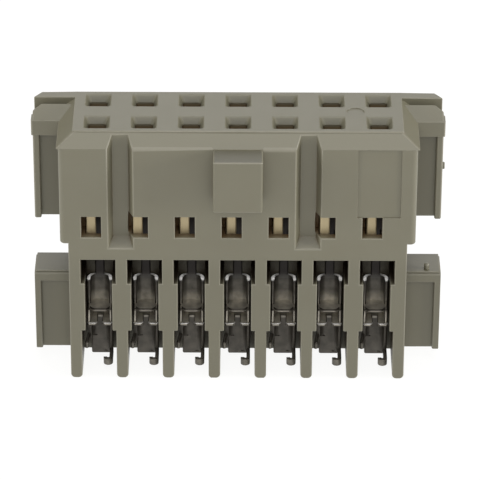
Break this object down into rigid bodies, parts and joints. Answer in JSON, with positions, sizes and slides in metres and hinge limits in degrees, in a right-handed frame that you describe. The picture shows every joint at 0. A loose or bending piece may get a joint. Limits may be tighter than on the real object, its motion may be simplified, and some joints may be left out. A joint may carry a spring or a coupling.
{
  "type": "rectangular connector",
  "caption": "Rectangular wire-to-board socket connector: a moulded grey housing with a polarising key, lock ears and finned wire bays, which holds rows of pressed, slotted contacts.",
  "frame": {"origin": "centre of the mating face, between the two rows of sockets", "axes": "+X along the rows, to the right when the key faces the viewer; +Y from the key side to the back; +Z out of the mating face"},
  "size_m": [0.0226, 0.0074, 0.0151],
  "materials": {
    "housing": "moulded, satin",
    "contact": "tin plated, gold plated at the socket end"
  },
  "bodies": {
    "root": {"housing": "housing", "contact_a1": "contact", "contact_a2": "contact", "contact_a3": "contact", "contact_a4": "contact", "contact_a5": "contact", "contact_a6": "contact", "contact_a7": "contact", "contact_b1": "contact", "contact_b2": "contact", "contact_b3": "contact", "contact_b4": "contact", "contact_b5": "contact", "contact_b6": "contact", "contact_b7": "contact"}
  },
  "joints": []
}
